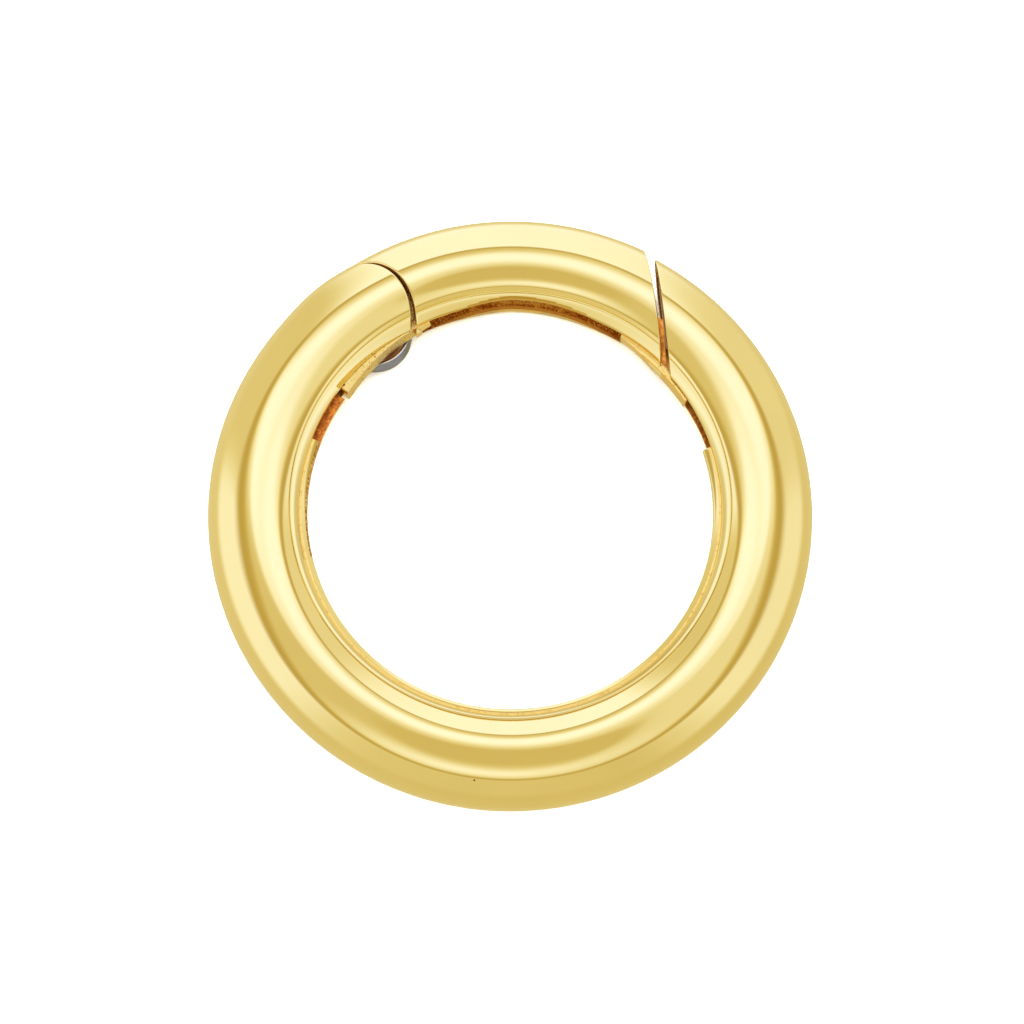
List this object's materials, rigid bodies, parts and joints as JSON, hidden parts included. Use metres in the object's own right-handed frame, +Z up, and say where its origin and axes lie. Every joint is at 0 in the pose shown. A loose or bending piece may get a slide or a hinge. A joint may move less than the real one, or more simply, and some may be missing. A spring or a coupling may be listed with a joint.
{
  "type": "spring gate ring",
  "caption": "Round jewellery ring that opens by a hinged spring gate, so charms, pendants or chain ends can be hung on it and taken off.",
  "frame": {"origin": "centre of the ring, on the surface it lies on", "axes": "+Z up through the ring's hole, +Y towards the gate, +X to the right of the gate as pictured"},
  "size_m": [0.022, 0.0221, 0.0036],
  "materials": {
    "ring_gold": "polished gold",
    "gate_gold": "polished gold, rough cast on its inner side",
    "pin_steel": "plain",
    "spring_steel": "bright drawn wire"
  },
  "bodies": {
    "ring": {"ring_body": "ring_gold", "hinge_pin": "pin_steel", "torsion_spring": "spring_steel"},
    "gate": {"gate": "gate_gold"}
  },
  "joints": [
    {"name": "gate_swing", "type": "hinge", "parent": "ring", "child": "gate", "pos_m": [-0.00513, 0.00698, 0.0018], "axis": [0, 0, 1], "range_deg": [-35, 0], "stiffness_Nm_per_rad": 0.006, "springref_deg": 40.11, "deforming": ["torsion_spring"]}
  ]
}
